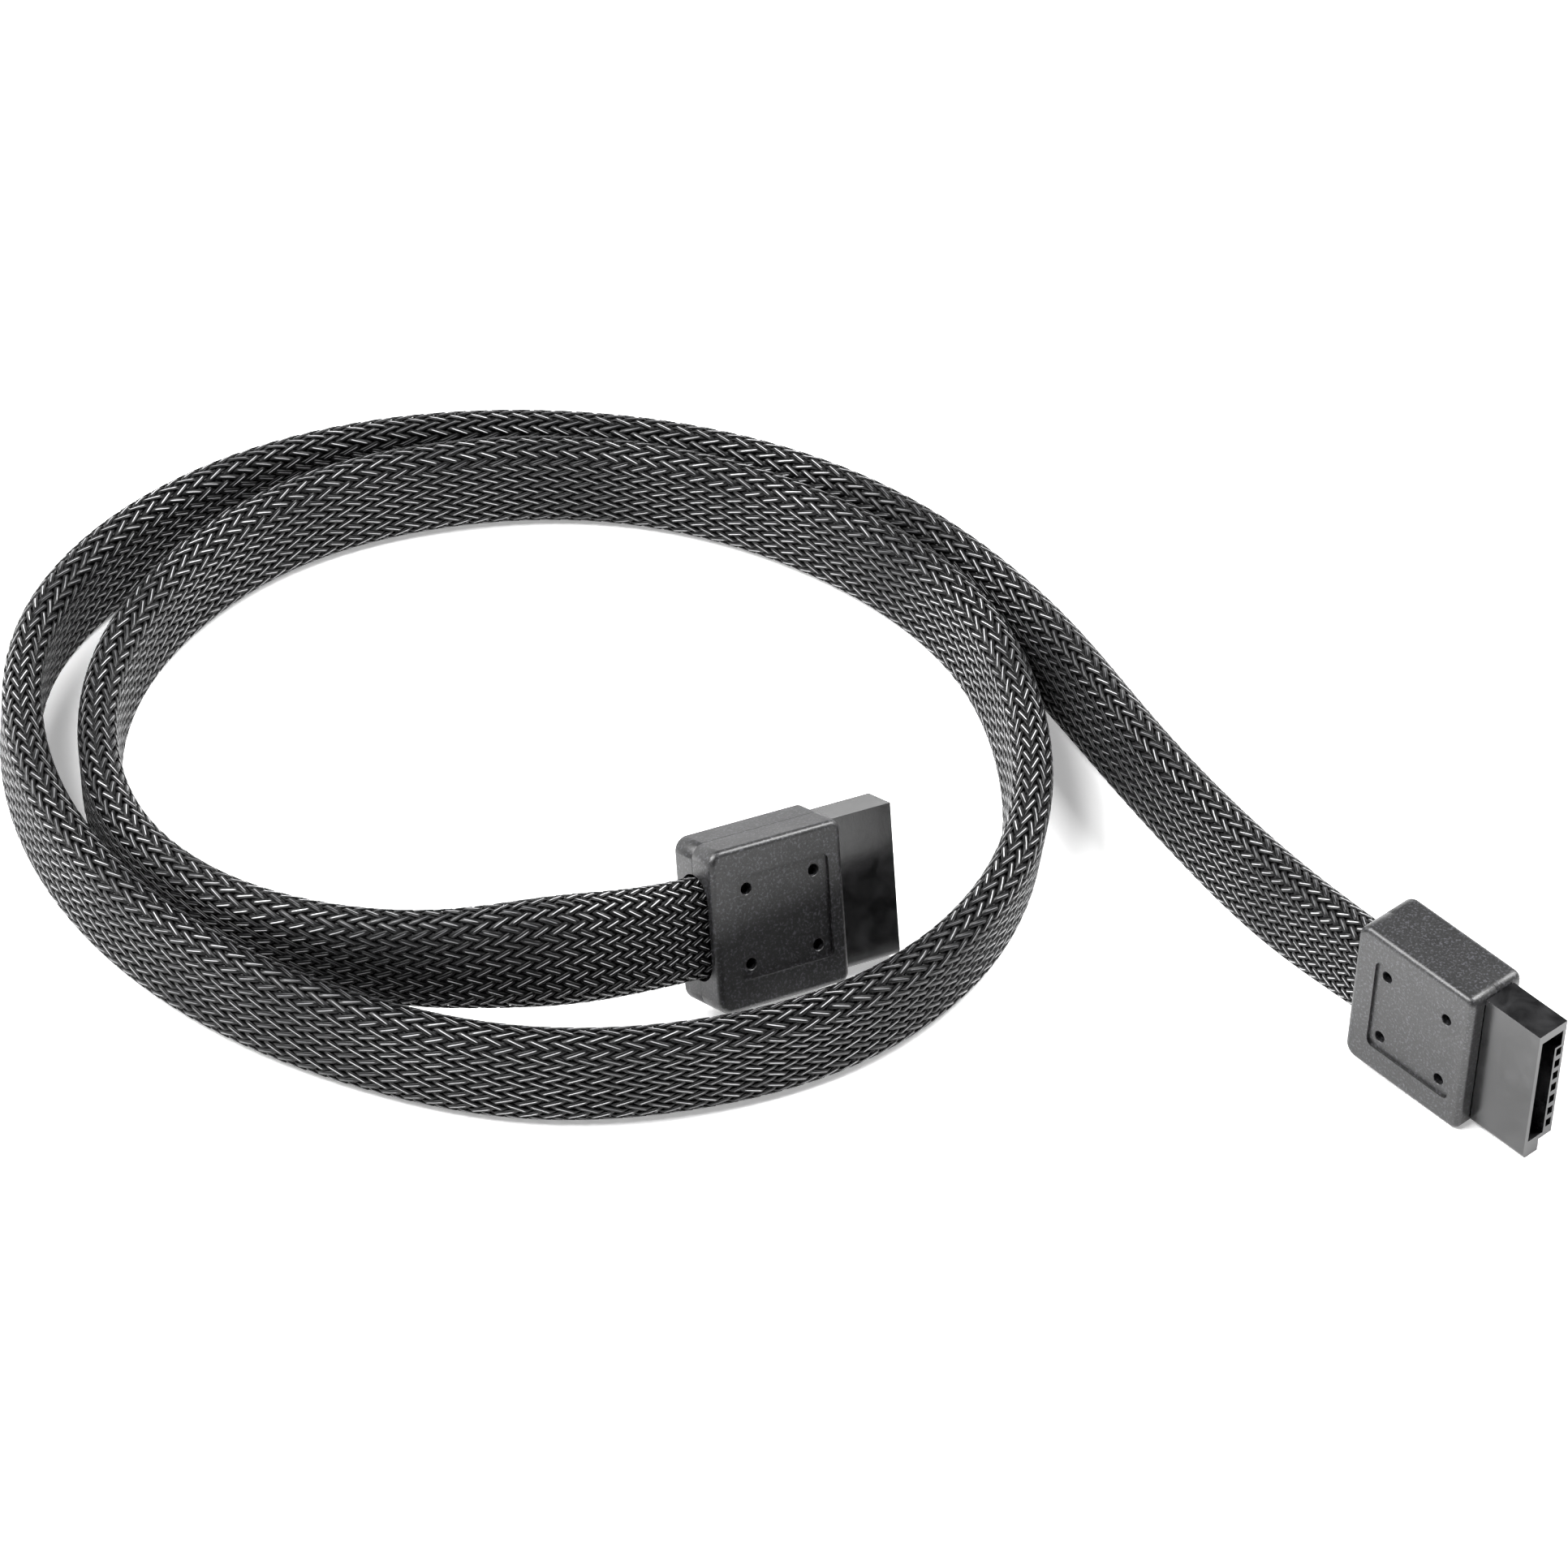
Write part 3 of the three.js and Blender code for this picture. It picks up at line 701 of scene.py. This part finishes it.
def nose_piece(end, plug):
    near, far = NOSE_OFFSET - NOSE_THICK / 2, NOSE_OFFSET + NOSE_THICK / 2
    top = NOSE_WIDE / 2
    bm = box_bm((NOSE_START, near, -top), (NOSE_LONG, far, top))
    lower_near = [e for e in edges_along(bm, 0) if e.verts[0].co.y < 0 and e.verts[0].co.z < 0]
    bevel(bm, lower_near, NOSE_CORNER, 6)
    piece = object_of("nose_fine_" + end, bm)
    combine(piece, box_bm(
        (-CUT, far - NOTCH_THICK, -top - CUT), (NOSE_LONG + CUT, far + CUT, -top + NOTCH_WIDE)))
    y, z = ROOT_THICK / 2, ROOT_WIDE / 2
    root = box_bm((-ROOT_LONG, NOSE_OFFSET - y, -z), (ROOT_INTO_NOSE, NOSE_OFFSET + y, z))
    combine(piece, root, "UNION")
    slot_near, slot_top = near + KEYWAY["near_wall"], top - KEYWAY["top_wall"]
    deep, mouth = NOSE_LONG - KEYWAY["deep"], NOSE_LONG + CUT
    for thick, wide in ((KEYWAY["slot"], KEYWAY["long"]), (KEYWAY["leg"], KEYWAY["leg_wide"])):
        combine(piece, box_bm(
            (deep, slot_near, slot_top - wide), (mouth, slot_near + thick, slot_top)))
    for i in range(CONTACTS["count"]):
        z = CONTACTS["first"] - i * CONTACTS["pitch"]
        half = CONTACTS["wide"] / 2 + CONTACT_CLEAR
        y = near + CONTACTS["from"] - CONTACT_CLEAR
        thick = CONTACTS["thick"] + 2 * CONTACT_CLEAR
        combine(piece, box_bm((-ROOT_LONG - CUT, y, z - half), (mouth, y + thick, z + half)))
    settle(piece, plug)
    soften = piece.modifiers.new("moulded_edges", "BEVEL")
    soften.width = NOSE_EDGE * MM
    soften.segments = 2
    soften.limit_method = "ANGLE"
    soften.angle_limit = math.radians(40)
    soften.harden_normals = True
    finish_piece(piece, MATERIALS["nose"])
    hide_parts("nose_housing_" + end)


PATH_POINTS = 240

add_camera()

braids = [
    braid_piece("braid_right_1", 1, 0, STRANDS // 2),
    braid_piece("braid_right_2", 1, STRANDS // 2, STRANDS // 2),
    braid_piece("braid_left_1", -1, 0, STRANDS // 2),
    braid_piece("braid_left_2", -1, STRANDS // 2, STRANDS // 2),
]
for braid in braids:
    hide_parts("braided_sleeve")
jacket = jacket_piece()
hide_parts("cable_jacket")

reach = np.linspace(0, route.length, PATH_POINTS)
path = route.frames(reach)[0] * MM

for end, plug in PLUGS.items():
    grip_piece(end, plug)
    nose_piece(end, plug)

LOOKS = {"grip": "grip", "contact": "contact", "pair": "foil"}  # a word in a node's name: its look
for node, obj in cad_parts.items():
    look = next((look for word, look in LOOKS.items() if word in node), "nose")
    for slot in obj.material_slots:
        slot.material = MATERIALS[look]


# Table and light
TABLE_HALF = 6  # metres
WORLD_STRENGTH = 2.6
LIGHTS_AIM = (-30, 25, 5)  # the middle of the loop, in millimetres


def add_table():
    bm = bmesh.new()
    bmesh.ops.create_grid(bm, x_segments=1, y_segments=1, size=TABLE_HALF)
    table = object_of("table", bm)
    m = new_material("white_sweep")
    place = add(m, "ShaderNodeTexCoord")
    soft = add(m, "ShaderNodeTexNoise", {"Vector": (place, "Object"), "Scale": 2.0})
    colour = add(m, "ShaderNodeValToRGB", {"Fac": (soft, "Fac")}, stops=[
        (0.3, "#f4f4f4"), (0.7, "#f7f7f7")])
    # lit a little from beneath, so that no shadow on it is dark
    shader = add(m, "ShaderNodeBsdfPrincipled", {
        "Base Color": (colour, "Color"), "Roughness": 0.9,
        "Emission Color": linear("#ffffff"), "Emission Strength": 0.35})
    add(m, "ShaderNodeOutputMaterial", {"Surface": (shader, "BSDF")})
    table.data.materials.append(m)


def add_light(name, towards, distance, size, radiance):
    """A square soft box in the direction given, seen from the middle of the loop."""
    data = bpy.data.lights.new(name, "AREA")
    data.size = size
    data.energy = radiance * math.pi * size**2
    light = bpy.data.objects.new(name, data)
    bpy.context.collection.objects.link(light)
    direction = Vector(towards).normalized()
    light.location = Vector(LIGHTS_AIM) * MM + direction * distance
    light.rotation_euler = direction.to_track_quat("Z", "Y").to_euler()


def add_surroundings():
    """A studio: a bright backdrop low behind the object, dimmer overhead and dark nearby."""
    world = bpy.data.worlds.new("studio")
    bpy.context.scene.world = world
    world.use_nodes = True
    background = world.node_tree.nodes["Background"]
    place = add(world, "ShaderNodeTexCoord")
    apart = add(world, "ShaderNodeSeparateXYZ", {"Vector": (place, "Generated")})
    away = add(world, "ShaderNodeMapRange", {
        "Value": (apart, "Y"), "From Min": -1.0, "From Max": 1.0})
    behind = add(world, "ShaderNodeValToRGB", {"Fac": (away, "Result")}, stops=[
        (0.0, "#404040"), (0.55, "#a0a0a0"), (0.9, "#e4e4e4")])
    low = add(world, "ShaderNodeValToRGB", {"Fac": (apart, "Z")}, stops=[
        (0.0, "#ffffff"), (0.25, "#ffffff"), (0.55, "#3e3e3e")])
    both = add(world, "ShaderNodeMix", {
        MIX_SHARE: 1.0, MIX_A: (behind, "Color"), MIX_B: (low, "Color")},
        data_type="RGBA", blend_type="MULTIPLY")
    world.node_tree.links.new(both.outputs[MIX_RESULT], background.inputs["Color"])
    background.inputs["Strength"].default_value = WORLD_STRENGTH


add_table()
add_surroundings()
add_light("left", (-0.68, 0, 0.73), 0.75, 0.4, 20)
add_light("above", (0.5, 0.1, 0.85), 0.75, 0.22, 30)
add_light("right", (0.7, 0.2, 0.7), 0.75, 0.3, 14)
add_light("front", (-0.35, -0.35, 0.87), 0.75, 0.22, 25)
bpy.context.scene.view_settings.view_transform = "Standard"
